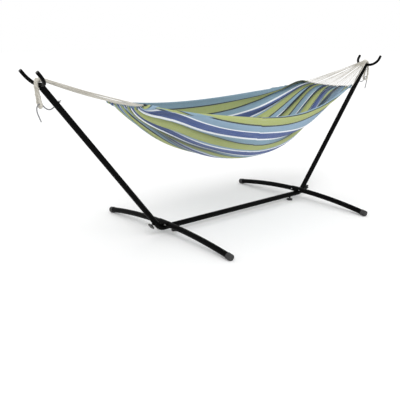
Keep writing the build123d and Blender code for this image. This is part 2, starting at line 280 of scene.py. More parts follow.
def points_at(places, lengths, points):
    """Points on a line, or directions along it, at the given distances."""
    return np.stack([np.interp(places, lengths, column) for column in points.T], 1)


def cross_directions(tangents):
    """Two directions square to each tangent, carried along the line without twisting."""
    normals = np.empty_like(tangents)
    normals[0] = unit(np.cross(tangents[0], (0, 0, 1) if abs(tangents[0][2]) < 0.9 else (1, 0, 0)))
    for i in range(1, len(tangents)):
        normal = normals[i - 1] - tangents[i] * normals[i - 1].dot(tangents[i])
        normals[i] = normal / math.sqrt(normal.dot(normal))
    return normals, np.cross(tangents, normals)


def tube(line, radius, around=6, closed=False):
    """Round tube along a line of points: its vertices, faces, and (length, turn) of each vertex."""
    line = np.asarray(line, float)
    count = len(line)
    if closed:
        tangents = unit(np.roll(line, -1, 0) - np.roll(line, 1, 0))
    else:
        tangents = unit(np.gradient(line, axis=0))
    radii = np.broadcast_to(np.asarray(radius, float), (count,))
    normals, binormals = cross_directions(tangents)
    turns = np.arange(around) / around
    ring = (np.cos(2 * math.pi * turns)[None, :, None] * normals[:, None]
            + np.sin(2 * math.pi * turns)[None, :, None] * binormals[:, None])
    vertices = (line[:, None] + ring * radii[:, None, None]).reshape(-1, 3)
    lengths = distances(line)
    uv = np.stack((np.repeat(lengths, around), np.tile(turns, count)), 1)
    rows = np.arange(count if closed else count - 1)[:, None]
    columns = np.arange(around)[None]
    next_row, next_column = (rows + 1) % count, (columns + 1) % around
    quads = np.stack((rows * around + columns, rows * around + next_column,
                      next_row * around + next_column, next_row * around + columns), -1)
    faces = quads.reshape(-1, 4).tolist()
    if not closed:
        faces += [list(range(around))[::-1], list(range((count - 1) * around, count * around))]
    return vertices, faces, uv


def mirrored(part):
    """The same shape on the other side of the middle plane, with its faces still outwards."""
    vertices, faces, uv = part
    return vertices * (-1, 1, 1), [face[::-1] for face in faces], uv


def build(name, parts, material, body, replaced=()):
    """One piece from several parts, on a body, with its material, hiding the CAD parts it replaces."""
    vertices = np.concatenate([part[0] for part in parts])
    uv = np.concatenate([part[2] for part in parts])
    faces, offset = [], 0
    for part_vertices, part_faces, _ in parts:
        faces += [[corner + offset for corner in face] for face in part_faces]
        offset += len(part_vertices)
    mesh = bpy.data.meshes.new(name)
    mesh.from_pydata(vertices.tolist(), [], faces)
    corners = np.empty(len(mesh.loops), dtype=np.int32)
    mesh.loops.foreach_get("vertex_index", corners)
    layer = mesh.uv_layers.new(name="surface")
    layer.data.foreach_set("uv", uv[corners].astype(np.float32).ravel())
    mesh.polygons.foreach_set("use_smooth", np.ones(len(mesh.polygons), dtype=bool))
    mesh.materials.append(material)
    mesh.update()
    piece = bpy.data.objects.new(name, mesh)
    bpy.context.scene.collection.objects.link(piece)
    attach(piece, body)
    if replaced:
        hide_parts(*replaced)
    return piece


bead_r = 0.0021
bead_ripple = 0.0003
bead_step = 0.0011
bead_wave = 0.0045        # length of one ripple


def bead(line, closed):
    """A weld bead whose surface ripples once every few millimetres."""
    line = np.asarray(line)
    if closed:
        line = np.vstack((line, line[:1]))
    steps = distances(line)
    count = int(steps[-1] / bead_step)
    places = np.linspace(0, steps[-1], count, endpoint=not closed)
    even = points_at(places, steps, line)
    radii = bead_r + bead_ripple * np.sin(places * 2 * math.pi / bead_wave)
    return tube(even, radii, 8, closed)


sleeve_reach = math.acos((sleeve_z - sleeve_r - beam_z) / tube_r)
turn = np.linspace(-1, 1, 61)
angles = sleeve_reach * np.sin(turn * math.pi / 2)
saddle_y, saddle_z = tube_r * np.sin(angles), beam_z + tube_r * np.cos(angles)
saddle_x = np.sqrt(np.maximum(sleeve_r**2 - (saddle_z - sleeve_z) ** 2, 0))
sleeve_weld = np.concatenate((
    np.stack((foot_x + saddle_x, saddle_y, saddle_z), 1),
    np.stack((foot_x - saddle_x, saddle_y, saddle_z), 1)[::-1][1:-1],
))
nut_ring_r = 0.0082
ring = np.linspace(0, 2 * math.pi, 48, endpoint=False)


def nut_weld(centre, along, out):
    """Ring of weld round a nut's foot, following the tube's round surface."""
    side = nut_ring_r * np.sin(ring)
    lift = np.sqrt(tube_r**2 - side**2)
    return (np.asarray(centre) + nut_ring_r * np.cos(ring)[:, None] * np.asarray(along)
            + side[:, None] * across + lift[:, None] * np.asarray(out))


knob_beam_x = 0.532
knob_up = 0.060
welds = [
    bead(sleeve_weld, True),
    bead(nut_weld((knob_beam_x, 0, beam_z), (1, 0, 0), (0, 0, -1)), True),
    bead(nut_weld(on_arm(knob_up), arm_dir, arm_out), True),
]
for facing in (-1, 1):
    reach = math.sqrt(fork_r**2 - (fork_base - arm_end) ** 2)
    outs = np.linspace(-reach, reach, 25)
    ups = arm_length + fork_base - np.sqrt(fork_r**2 - outs**2)
    welds.append(bead([on_arm(up, out, facing * math.sqrt(tube_r**2 - out**2))
                       for up, out in zip(ups, outs)], False))
for side, parts in (("right", welds), ("left", [mirrored(part) for part in welds])):
    build(f"weld_beads_{side}", parts, powder_coat, "stand")

# ---- foot caps ----
# Each foot ends in a moulded rubber boot, pushed over the tube, with a lip, grip grooves and
# a flat sole.
foot_half = 0.592
foot_end_z = 0.0177
foot_drop = sleeve_z - foot_end_z
foot_curve_r = (foot_half**2 + foot_drop**2) / (2 * foot_drop)
rubber, rubber_shader = finish("foot_rubber", hard_skin, {
    "Color": (0.028, 0.028, 0.029), "Worn Color": (0.11, 0.105, 0.1), "Wear": 0.5,
    "Grain Scale": 2200.0, "Gloss": 0.62}, 0.35, 0.0004)
rubber_shader.inputs["Specular IOR Level"].default_value = 0.4

# Each row: how far out of the tube's end, and the radius.
cap_profile = [
    (-0.004, 0.01705), (-0.030, 0.01705), (-0.0302, 0.0186), (-0.0298, 0.0193), (-0.0285, 0.0195),
    (-0.0272, 0.0193), (-0.0265, 0.0187),
]
groove_edge, groove_floor = 0.0011, 0.0005
for groove in (-0.021, -0.0175, -0.014):
    cap_profile += [(groove - groove_edge, 0.0190), (groove - groove_floor, 0.0184),
                    (groove + groove_floor, 0.0184), (groove + groove_edge, 0.0190)]
cap_profile += [
    (-0.006, 0.0190), (0.0008, 0.0190), (0.0026, 0.0187), (0.0040, 0.0178), (0.0048, 0.0165),
    (0.0050, 0.0150), (0.0050, 0.0125), (0.0046, 0.0119), (0.0044, 0.0112), (0.0044, 0.0030),
    (0.0050, 0.0024), (0.0051, 0.0004),
]
cap_around = 40
turns = np.linspace(0, 2 * math.pi, cap_around, endpoint=False)


def ring_faces(ring_count, around, flip):
    """Faces between neighbouring rings of vertices, and one that closes each end."""
    faces = []
    for i in range(ring_count - 1):
        for j in range(around):
            here, beside = i * around + j, i * around + (j + 1) % around
            faces.append([here, here + around, beside + around, beside] if flip
                         else [here, beside, beside + around, here + around])
    first = list(range(around))
    last = list(range((ring_count - 1) * around, ring_count * around))
    return faces + ([first, last[::-1]] if flip else [first[::-1], last])


def foot_cap(facing):
    rows = []
    for out, radius in cap_profile:
        angle = math.asin(foot_half / foot_curve_r) + out / foot_curve_r
        centre = np.array((foot_x, foot_curve_r * math.sin(angle), sleeve_z - foot_curve_r
                           + foot_curve_r * math.cos(angle)))
        up = np.array((0, math.sin(angle), math.cos(angle)))
        row = centre + radius * (np.cos(turns)[:, None] * (1, 0, 0) + np.sin(turns)[:, None] * up)
        row[:, 2] = np.maximum(row[:, 2], 0.0)
        rows.append(row)
    vertices = np.concatenate(rows)
    faces = ring_faces(len(rows), cap_around, True)
    uv = vertices[:, :2]
    if facing < 0:
        vertices, faces = vertices * (1, -1, 1), [face[::-1] for face in faces]
    return vertices, faces, uv


for end, facing in (("rear", 1), ("front", -1)):
    cap = foot_cap(facing)
    for side, part in (("right", cap), ("left", mirrored(cap))):
        build(f"boot_{end}_{side}", [part], rubber, "stand", [f"foot_cap_{end}_{side}"])

# ---- clamp knobs, fork plugs, bolts and studs ----
# Star knobs moulded in glass-filled nylon on M8 studs; pressed plastic plugs close the forks;
# bolts, nuts and studs are zinc plated.
plastic, _ = finish("moulded_plastic", hard_skin, {
    "Color": (0.009, 0.009, 0.0095), "Worn Color": (0.05, 0.05, 0.05), "Wear": 0.4,
    "Grain Scale": 2600.0, "Gloss": 0.48}, 0.3, 0.0003)
plug_plastic, _ = finish("plug_plastic", hard_skin, {
    "Color": (0.03, 0.03, 0.031), "Worn Color": (0.09, 0.09, 0.09), "Wear": 0.4,
    "Grain Scale": 2600.0, "Gloss": 0.5}, 0.3, 0.0003)
zinc, zinc_shader = finish("zinc_plate", hard_skin, {
    "Color": (0.42, 0.42, 0.43), "Worn Color": (0.24, 0.23, 0.21), "Wear": 0.6,
    "Grain Scale": 700.0, "Gloss": 0.34}, 0.15, 0.0003)
zinc_shader.inputs["Metallic"].default_value = 1.0
wear_finish(sides("fork_plugs"), plug_plastic)
wear_finish(sides("foot_bolts", "foot_nuts", "knob_stud_beam", "knob_stud_arm"), zinc)

knob_r = 0.022
knob_hollow_at = 0.024
knob_hollow_r = 0.007
knob_face = tube_r + 0.0225
knob_h = 0.009
knob_around = 96
knob_soft = 0.0006        # how far the star's corners are rounded


def knob_outline(angle):
    """Radius of the six-lobed star, softened where a lobe meets a hollow."""
    off = (angle + math.pi / 6) % (math.pi / 3) - math.pi / 6
    inside = knob_hollow_r**2 - (knob_hollow_at * math.sin(off)) ** 2
    cut = knob_hollow_at * math.cos(off) - math.sqrt(inside) if inside > 0 else knob_r + 0.004
    return -math.log(math.exp(-knob_r / knob_soft) + math.exp(-cut / knob_soft)) * knob_soft


# Each row: height above the knob's underside, how far inside the star, or None and a plain radius.
knob_rows = [
    (-0.0045, None, 0.0046), (-0.0045, None, 0.0078), (-0.0041, None, 0.0085), (-0.0008, None, 0.0087),
    (-0.0002, None, 0.0093), (0.0, 0.0040, 0), (0.0, 0.0022, 0), (0.0004, 0.0010, 0), (0.0014, 0.0002, 0),
    (0.0030, 0.0, 0), (0.0060, 0.0, 0), (0.0076, 0.0003, 0), (0.0086, 0.0012, 0), (0.0090, 0.0026, 0),
    (0.0091, 0.0042, 0), (0.0090, None, 0.0102), (0.0086, None, 0.0096), (0.0084, None, 0.0088),
    (0.0083, None, 0.0040), (0.0085, None, 0.0008),
]


def star_knob(centre, along, out):
    angles = np.linspace(0, 2 * math.pi, knob_around, endpoint=False)
    star = np.array([knob_outline(angle) for angle in angles])
    side = np.cross(out, along)
    rows = []
    for height, inset, plain in knob_rows:
        radii = np.full(knob_around, plain) if inset is None else star - inset
        level = knob_face - knob_h + height
        rows.append(np.asarray(centre) + level * np.asarray(out) + radii[:, None] * (
            np.cos(angles)[:, None] * np.asarray(along) + np.sin(angles)[:, None] * side))
    vertices = np.concatenate(rows)
    return vertices, ring_faces(len(rows), knob_around, False), vertices[:, :2]


for place, knob in (
    ("beam", star_knob((knob_beam_x, 0, beam_z), (1, 0, 0), (0, 0, -1))),
    ("arm", star_knob(on_arm(knob_up), arm_dir, arm_out)),
):
    for side, part in (("right", knob), ("left", mirrored(knob))):
        build(f"star_knob_{place}_{side}", [part], plastic, f"knob_{place}_{side}_body",
              [f"knob_{place}_{side}"])

# ---- bed ----
# One cut of woven cotton, 0.98 by 2.05 m, striped along its length. Both ends are turned over,
# sewn and gathered on the strings; the long edges are hemmed, and the near one rolls inwards.
bed_half = 0.912
bed_end_z = 0.817
bed_end_half = 0.190
near_spread, far_spread = 0.110, 0.069
near_sag, far_sag = 0.134, 0.061
near_skew, far_skew = 0.38, -0.46
end_depth, full_depth = 0.016, 0.312
belly_left, belly_right = (2.2, 0.9), (3.1, 3.4)
belly_shift = 0.042
bed_inset = 0.0025        # from the closed shape's skin to the cloth's middle
wall_points, roll_points = 241, 40
roll_tighter = 0.45       # how much smaller the roll's radius gets towards its inner end
cloth_width, cloth_length = 0.98, 2.05
cloth_thick = 0.0013
hem_width = 0.011
end_hem_width, end_seam_in = 0.018, 0.014
string_count = 24
first_string = 0.010      # share of the cloth's width outside the first and last string

# How the near edge rolls: place along the bed, radius of the roll, and how much of the cloth
# is behind the top of the roll.
edge_roll = np.array([
    (-0.912, 0.0045, 0.052), (-0.895, 0.0046, 0.066), (-0.85, 0.0055, 0.092), (-0.79, 0.0065, 0.104),
    (-0.70, 0.0085, 0.104), (-0.63, 0.010, 0.098), (-0.56, 0.011, 0.087), (-0.50, 0.012, 0.079),
    (-0.40, 0.014, 0.069), (-0.25, 0.016, 0.060), (-0.10, 0.017, 0.051), (0.0, 0.018, 0.047),
    (0.20, 0.017, 0.042), (0.45, 0.014, 0.034), (0.65, 0.011, 0.026), (0.82, 0.008, 0.014),
    (0.912, 0.0045, 0.006),
])

pleats = string_count - 1
pleat_rows = 8
roll_share = 0.110
even_rows = np.arange(-1, pleats * pleat_rows + 2) / (pleats * pleat_rows)
share = first_string + even_rows * (1 - 2 * first_string)
share[0], share[-1] = 0.0, 1.0
share = np.unique(np.concatenate((share, (share[:-1] + share[1:])[share[1:] < roll_share] / 2)))
phase = (share - first_string) / (1 - 2 * first_string) * pleats
station_count = 181
even = np.linspace(-1, 1, station_count)
stations = bed_half * (0.45 * even + 0.55 * np.sin(even * math.pi / 2))
random.seed(11)
fold_phase = {(end, mode): random.uniform(0, 2 * math.pi) for end in (-1, 1) for mode in range(8)}


def bed_profile(x):
    """Points across the bed from the rolled near edge to the far edge (Y, Z), and the wall's first."""
    s = x / bed_half
    rise = 1 - s * s
    near = np.array((-bed_end_half - near_spread * rise, bed_end_z - near_sag * rise * (1 + near_skew * s)))
    far = np.array((bed_end_half + far_spread * rise, bed_end_z - far_sag * rise * (1 + far_skew * s)))
    fullness, taper = belly_left if s < 0 else belly_right
    depth = end_depth + full_depth * (1 - abs(s) ** fullness) ** taper
    half = np.linalg.norm(far - near) / 2
    along = (far - near) / (2 * half)
    angle = np.linspace(0, math.pi, wall_points)[:, None]
    wall = ((near + far) / 2 - along * (half - bed_inset) * np.cos(angle)
            + np.array((belly_shift * rise, 0)) * np.sin(angle) + np.array((0, -1)) * (depth - bed_inset)
            * np.sin(angle))
    roll_r = np.interp(x, edge_roll[:, 0], edge_roll[:, 1])
    roll_turn = math.pi / 2 + np.interp(x, edge_roll[:, 0], edge_roll[:, 2]) / roll_r
    lengths = distances(wall)
    top = np.searchsorted(lengths, roll_r * min(1, rise * 4))
    wall = wall[top:]
    up = unit(wall[0] - wall[1])
    inward = np.array((-up[1], up[0]))
    inward = inward if inward[0] > 0 else -inward
    sweep = np.linspace(roll_turn, 0, roll_points)[:-1, None]
    tighter = 1 - roll_tighter * np.maximum(sweep - 1.5, 0) / roll_turn
    roll = wall[0] + inward * roll_r * (1 - np.cos(sweep) * tighter) + up * roll_r * np.sin(sweep) * tighter
    return np.concatenate((roll, wall)), len(roll)


# Kinds of fold that run from each end: width in pleats, depth, the distance from the end at which
# it is deepest, how far the cloth is drawn into its bottom, and how much shade is painted into its groove.
folds = (
    (2.1, 0.0090, 0.12, 0.0085, 0.85), (3.4, 0.0130, 0.22, 0.0145, 0.95), (5.3, 0.0140, 0.36, 0.0220, 0.80),
    (8.7, 0.0060, 0.48, 0.0060, 0.30),
)
pleat_depth, pleat_draw, pleat_reach = 0.0090, 0.0021, 0.20
grip_near, grip_wall = 0.045, 0.085      # how far from the end the strings still space the cloth
outer_string_in = 0.005   # from the end's corner to the outer string
selvedge_past = 0.004     # from the outer string to the far edge
turn_from, turn_share, turn_blend, turn_lift = 0.40, 0.050, 0.006, 0.005    # the far edge turned under
near_calm, far_calm = (0.07, 0.08), (0.995, 0.10)    # where the long edges keep the folds off
seam_painted_shade, seam_at, seam_blend = 0.8, 0.010, 0.010    # shade painted into the dimples beside the end seam


def wall_out(profile, total, lengths, place):
    """Outward directions of the profile at places along it."""
    ahead, behind = np.minimum(place + 0.01, total), np.minimum(place + 0.01, total) - 0.02
    step = points_at(ahead, lengths, profile) - points_at(behind, lengths, profile)
    return unit(np.stack((step[:, 1], -step[:, 0]), 1))


def wave(amplitude, at, sharp, lean):
    """A row of folds: how far outwards, and how far along, so that the crests are narrow."""
    return amplitude * (1 - np.cos(at)), -sharp * np.sin(at + lean)


grid = np.empty((station_count, len(share), 3))
painted_fold_shade = np.zeros((station_count, len(share)))    # how much shade is painted on each point, most in the grooves of the folds and pleats and beside the end seam
string_side = np.linspace(-1, 1, string_count)
for i, x in enumerate(stations):
    profile, wall_start = bed_profile(x)
    lengths = distances(profile)
    total = lengths[-1]
    from_end = bed_half - abs(x)
    end = -1 if x < 0 else 1
    # At the ends the cloth is spaced by its strings, elsewhere evenly round the section.
    held = np.interp(string_side * (bed_end_half - outer_string_in), profile[wall_start:, 0],
                     lengths[wall_start:])
    # The strip inside the roll stays there, and the strings share out the rest.
    rolled = max(edge_roll[0 if x < 0 else -1, 2] / cloth_width, first_string)
    by_string = np.interp(share, np.linspace(rolled, 1 - first_string, string_count), held)
    by_string = np.where(share < rolled, held[0] * share / rolled, by_string)
    by_string[share > 1 - first_string] = held[-1] + selvedge_past
    grip = np.exp(-(from_end / (grip_near + grip_wall * np.clip((share - 0.10) / 0.20, 0, 1))) ** 1.5)
    place = np.clip((1 - grip) * share * total + grip * by_string, 0, total)
    # Towards the right end the far edge is turned under, to the outside.
    fold_at = 1 - turn_share * np.clip((x - turn_from) / 0.5, 0, 1) ** 1.5
    turned = np.clip((share - fold_at) / turn_blend, 0, 1)
    place = np.where(share <= fold_at, np.minimum(place * total / np.interp(fold_at, share, place), total),
                     total - 0.9 * (share - fold_at) * total)
    base = points_at(place, lengths, profile)
    tangent = unit(np.gradient(base, axis=0) + 1e-9)
    outward = np.stack((tangent[:, 1], -tangent[:, 0]), 1)
    calm = np.clip((share - near_calm[0]) / near_calm[1], 0, 1) \
        * np.clip((far_calm[0] - share) / far_calm[1], 0, 1)
    calm = (calm + (1 - calm) * grip) * np.clip((share - rolled) / 0.02, 0, 1)
    pinch = math.exp(-(from_end / pleat_reach) ** 1.2)
    out, shift = wave(pleat_depth * pinch, 2 * math.pi * phase, pleat_draw * pinch, 0.25)
    # Shade is painted into the small pleats' grooves near the ends, and into the dimples beside the end
    # seam.
    pleat_shade_mask = (0.5 + 0.5 * np.cos(2 * math.pi * phase)) ** 2
    painted_fold_shade[i] += pinch * pleat_shade_mask * (0.55 + 0.3 * np.sin(phase * 1.7))
    painted_fold_shade[i] += seam_painted_shade * math.exp(-((from_end - seam_at) / seam_blend) ** 2) * pleat_shade_mask
    for mode, (period, size, reach, sharp, shade) in enumerate(folds):
        swell = (from_end / reach) * math.exp(1 - from_end / reach) * min(1, (bed_half - from_end) / 0.35)
        wander = fold_phase[end, mode] + 1.1 * np.sin(phase * 0.55 + fold_phase[end, (mode + 3) % 8]) \
            + 0.9 * from_end / reach * math.sin(fold_phase[end, mode + 4])
        uneven = 0.55 + 0.45 * np.sin(phase * (0.9 - 0.1 * mode) + fold_phase[end, mode + 4])
        more_out, more_shift = wave(size * swell * uneven, 2 * math.pi * phase / period + wander,
                                    sharp * swell * uneven, 0.5)
        out, shift = out + more_out - 2 * size * swell * uneven, shift + more_shift
        # Painted shade: each fold's groove is darkened, most where the fold is deepest.
        groove = (0.5 + 0.5 * np.cos(2 * math.pi * phase / period + wander + 0.35)) ** 4
        painted_fold_shade[i] += shade * swell * uneven * groove * calm
    outward[turned > 0] = wall_out(profile, total, lengths, place[turned > 0])
    moved = base + outward * (out * calm * (1 - turned) + turn_lift * turned)[:, None] \
        + tangent * (shift * calm * (1 - turned))[:, None]
    grid[i, :, 0] = x
    grid[i, :, 1:] = moved

# The gathered ends are not cut straight: each pleat's bottom stands a little further in, the left
# end is drawn in by its tighter pleats, and the right end hangs askew.
scallop, scallop_reach = 0.0035, 0.05
left_drawn_in = 0.036
right_near_out, right_askew, right_far_lift = 0.030, 0.054, 0.012
askew_reach = 0.14
pull = np.exp(-((bed_half - np.abs(stations)) / scallop_reach))[:, None]
long_pull = np.exp(-((bed_half - np.abs(stations)) / askew_reach))[:, None]
at_left = stations[:, None] < 0
grid[:, :, 0] -= np.sign(stations)[:, None] * pull * scallop * (1 - np.cos(2 * math.pi * phase))[None]
grid[:, :, 0] += long_pull * np.where(at_left, left_drawn_in, right_near_out - right_askew * share[None])
grid[:, :, 2] += long_pull * np.where(at_left, 0.0, right_far_lift * share[None] ** 2)


weave_group, weave_in, weave_out = new_group("woven_stripes", [
    ("Warp Scale", "Float", 700.0), ("Weft Scale", "Float", 420.0), ("Fade", "Float", 0.2),
    ("Painted Shade", "Float", 0.0),
])
weave_uv = weave_group.nodes.new("ShaderNodeSeparateXYZ")
weave_group.links.new(weave_in.outputs["Vector"], weave_uv.inputs["Vector"])
across_cloth, down_cloth = weave_uv.outputs["X"], weave_uv.outputs["Y"]
blue, green, navy = srgb(126, 158, 176), srgb(168, 178, 100), srgb(60, 84, 146)
white, dark, pale = srgb(246, 251, 255), srgb(14, 24, 16), srgb(136, 166, 190)
# Each stripe's colour and width in millimetres, from the near edge to the far one.
near_stripes = [(blue, 43), (dark, 8), (green, 44), (dark, 8), (pale, 36), (white, 8), (navy, 39),
                (white, 10), (blue, 38)]
repeat_stripes = [(dark, 8), (green, 44), (pale, 11), (white, 10), (navy, 48), (white, 10), (blue, 29)]
far_stripes = [(dark, 8), (green, 48), (dark, 8), (blue, 42)]
near_width = sum(width for _, width in near_stripes) / 1000
repeat_width = sum(width for _, width in repeat_stripes) / 1000
far_width = sum(width for _, width in far_stripes) / 1000


def stripe_ramp(value, stripes):
    node = weave_group.nodes.new("ShaderNodeValToRGB")
    node.color_ramp.interpolation = "CONSTANT"
    whole = sum(width for _, width in stripes)
    at = 0.0
    for index, (colour, width) in enumerate(stripes):
        if index < 2:
            stop = node.color_ramp.elements[index]
            stop.position = at / whole
        else:
            stop = node.color_ramp.elements.new(at / whole)
        stop.color = (*colour, 1)
        at += width
    weave_group.links.new(value, node.inputs["Fac"])
    return node.outputs["Color"]


# Threads stray a little over each stripe's edge.
thread_vector = stretched(weave_group, weave_in.outputs["Vector"], (60.0, 900.0, 1.0))
stray = spread(weave_group, noise(weave_group, thread_vector, 1.0), -0.0006, 0.0006)
strayed = arithmetic(weave_group, "ADD", across_cloth, stray)
repeat_at = arithmetic(weave_group, "FRACT", arithmetic(
    weave_group, "DIVIDE", arithmetic(weave_group, "SUBTRACT", strayed, near_width), repeat_width))
stripes = mixed(
    weave_group, arithmetic(weave_group, "GREATER_THAN", strayed, near_width),
    stripe_ramp(arithmetic(weave_group, "DIVIDE", strayed, near_width), near_stripes),
    stripe_ramp(repeat_at, repeat_stripes))
far_start = cloth_width - far_width
stripes = mixed(
    weave_group, arithmetic(weave_group, "GREATER_THAN", strayed, far_start), stripes,
    stripe_ramp(arithmetic(weave_group, "DIVIDE", arithmetic(
        weave_group, "SUBTRACT", strayed, far_start), far_width), far_stripes))
# Pale weft shows between the coloured warp threads, with slubs along both.
full_turn = 6.283
warp_rate = arithmetic(weave_group, "MULTIPLY", weave_in.outputs["Warp Scale"], full_turn)
warp = arithmetic(weave_group, "SINE", arithmetic(weave_group, "MULTIPLY", across_cloth, warp_rate))
weft_rate = arithmetic(weave_group, "MULTIPLY", weave_in.outputs["Weft Scale"], full_turn)
weft = arithmetic(weave_group, "SINE", arithmetic(weave_group, "MULTIPLY", down_cloth, weft_rate))
crossing = arithmetic(weave_group, "MULTIPLY", warp, weft)
weft_shows = spread(weave_group, crossing, 0.0, 0.16, (0.2, 1.0))
streak = noise(weave_group, stretched(weave_group, weave_in.outputs["Vector"], (520.0, 9.0, 1.0)), 1.0, 3.0)
slub = noise(weave_group, stretched(weave_group, weave_in.outputs["Vector"], (14.0, 620.0, 1.0)), 1.0, 2.0)
worn_streaks = arithmetic(weave_group, "MULTIPLY", spread(weave_group, streak, 0.0, 1.0, (0.35, 0.75)),
                          weave_in.outputs["Fade"])
coloured = mixed(weave_group, weft_shows, stripes, (0.72, 0.76, 0.80))
coloured = mixed(weave_group, worn_streaks, coloured, (0.60, 0.66, 0.72))
slub_shade = mixed(weave_group, spread(weave_group, slub, 0.0, 1.0, (0.3, 0.7)),
                   (0.80, 0.80, 0.80), (1.0, 1.0, 1.0))
shaded = mixed(weave_group, 0.5, coloured, slub_shade, "MULTIPLY")
# Painted shade: the colour is drawn towards near-black where the painted fold shade is high, deep in the
# folds.
painted_shade_strength, painted_shade_colour = 0.92, (0.012, 0.02, 0.03)
painted_shade_factor = arithmetic(weave_group, "MULTIPLY", weave_in.outputs["Painted Shade"], painted_shade_strength)
shaded = mixed(weave_group, painted_shade_factor, shaded, painted_shade_colour)
weave_group.links.new(shaded, weave_out.inputs["Color"])
weave_group.links.new(spread(weave_group, slub, 0.78, 0.92), weave_out.inputs["Roughness"])
weft_height = arithmetic(weave_group, "MULTIPLY", weft, 0.35)
crossing_height = arithmetic(weave_group, "MULTIPLY", crossing, 0.4)
weave_group.links.new(arithmetic(weave_group, "ADD", weft_height, arithmetic(
    weave_group, "ADD", crossing_height, streak)), weave_out.inputs["Height"])

striped_cloth, cloth_shader = finish("striped_cloth", weave_group, {
    "Warp Scale": 620.0, "Weft Scale": 380.0, "Fade": 0.22}, 0.35, 0.0005, "UV")
# The painted fold shade attribute of the cloth's points drives the painted shade.
fold_shade_attribute = striped_cloth.node_tree.nodes.new("ShaderNodeAttribute")
fold_shade_attribute.attribute_name = "painted_fold_shade"
weave_effect = next(node for node in striped_cloth.node_tree.nodes if node.type == "GROUP")
striped_cloth.node_tree.links.new(fold_shade_attribute.outputs["Fac"], weave_effect.inputs["Painted Shade"])
cloth_shader.inputs["Sheen Weight"].default_value = 0.12
cloth_shader.inputs["Sheen Roughness"].default_value = 0.5
cloth_shader.inputs["Specular IOR Level"].default_value = 0.2

rows = len(share)
cloth_faces = [[i * rows + j, (i + 1) * rows + j, (i + 1) * rows + j + 1, i * rows + j + 1]
               for i in range(station_count - 1) for j in range(rows - 1)]
cloth_uv = np.stack((np.tile(share * cloth_width, station_count), np.repeat(
    cloth_length / 2 * (1 + stations / bed_half), rows)), 1)
painted_fold_shade = np.clip(painted_fold_shade, 0, 1)
bed = build("bed_cloth", [(grid.reshape(-1, 3), cloth_faces, cloth_uv)], striped_cloth, "hammock",
            ["bed"])
# The painted fold shade is kept on the cloth's points for its material to read.
crease_layer = bed.data.attributes.new("painted_fold_shade", "FLOAT", "POINT")
crease_layer.data.foreach_set("value", painted_fold_shade.astype(np.float32).ravel())
# The hems are two layers of cloth.
layers = bed.vertex_groups.new(name="layers")
hem_rows = (share * cloth_width < hem_width) | ((1 - share) * cloth_width < hem_width)
hem_stations = bed_half - np.abs(stations) < end_hem_width
doubled = (hem_stations[:, None] | hem_rows[None]).ravel()
layers.add(np.nonzero(doubled)[0].tolist(), 1.0, "REPLACE")
layers.add(np.nonzero(~doubled)[0].tolist(), 0.5, "REPLACE")
thicken = bed.modifiers.new("cloth thickness", "SOLIDIFY")
thicken.thickness = cloth_thick * 2
thicken.offset = 0
thicken.vertex_group = "layers"

# Lock stitches hold the hems, on both faces of the cloth.
stitch_length, stitch_gap, stitch_r, stitch_end_r = 0.0034, 0.0012, 0.00034, 0.00018
along_x, along_w = np.gradient(grid, axis=0), np.gradient(grid, axis=1)
cloth_normal = unit(np.cross(along_x, along_w))


def seam(points, normals):
    """Stitches along a line on the cloth, on both faces."""
    steps = distances(points)
    starts = np.arange(0.002, steps[-1] - stitch_length, stitch_length + stitch_gap)
    made = []
    for start in starts:
        at = start + np.array((0, 0.5, 1)) * stitch_length
        middle, facing = points_at(at, steps, points), unit(points_at(at, steps, normals))
        lift = (cloth_thick + np.array((0.0, 0.8, 0.0)) * stitch_r)[:, None]
        for face in (-1, 1):
            made.append(tube(middle + face * facing * lift, [stitch_end_r, stitch_r, stitch_end_r], 4))
    return made


near_row = int(np.searchsorted(share * cloth_width, hem_width * 0.8))
far_row = int(np.searchsorted(share * cloth_width, cloth_width - hem_width * 0.8)) - 1
seam_station = int(np.searchsorted(stations, -bed_half + end_seam_in))
stitches = []
for row in (near_row, far_row):
    stitches += seam(grid[:, row], cloth_normal[:, row])
for station in (seam_station, station_count - 1 - seam_station):
    stitches += seam(grid[station], cloth_normal[station])

fibre_group, fibre_in, fibre_out = new_group("spun_fibre", [
    ("Color", "Color", (0.8, 0.8, 0.76, 1)), ("Shadow Color", "Color", (0.5, 0.48, 0.42, 1)),
    ("Fibre Scale", "Float", 900.0), ("Soiling", "Float", 0.2),
])
fibres = fibre_group.nodes.new("ShaderNodeTexNoise")
fibres.inputs["Detail"].default_value = 3.0
along_fibre = stretched(fibre_group, fibre_in.outputs["Vector"], (0.35, 1.0, 1.0))
fibre_group.links.new(along_fibre, fibres.inputs["Vector"])
fibre_group.links.new(fibre_in.outputs["Fibre Scale"], fibres.inputs["Scale"])
soil = arithmetic(fibre_group, "MULTIPLY", spread(
    fibre_group, noise(fibre_group, fibre_in.outputs["Vector"], 14.0, 5.0), 0.0, 1.0, (0.4, 0.75)),
    fibre_in.outputs["Soiling"])
between = arithmetic(fibre_group, "ADD", soil, spread(
    fibre_group, fibres.outputs["Fac"], 0.35, 0.0, (0.3, 0.65)))
fibre_colour = mixed(fibre_group, between, fibre_in.outputs["Color"], fibre_in.outputs["Shadow Color"])
fibre_group.links.new(fibre_colour, fibre_out.inputs["Color"])
fibre_group.links.new(spread(fibre_group, fibres.outputs["Fac"], 0.75, 0.95), fibre_out.inputs["Roughness"])
fibre_group.links.new(fibres.outputs["Fac"], fibre_out.inputs["Height"])


def spun(name, colour, shadow, soiling):
    material, shader = finish(name, fibre_group, {
        "Color": colour, "Shadow Color": shadow, "Fibre Scale": 1300.0, "Soiling": soiling}, 0.5, 0.0004)
    shader.inputs["Sheen Weight"].default_value = 0.2
    shader.inputs["Specular IOR Level"].default_value = 0.15
    return material


thread = spun("sewing_thread", srgb(205, 215, 222), srgb(150, 160, 170), 0.1)
bed_seams = build("bed_seams", stitches, thread, "hammock")

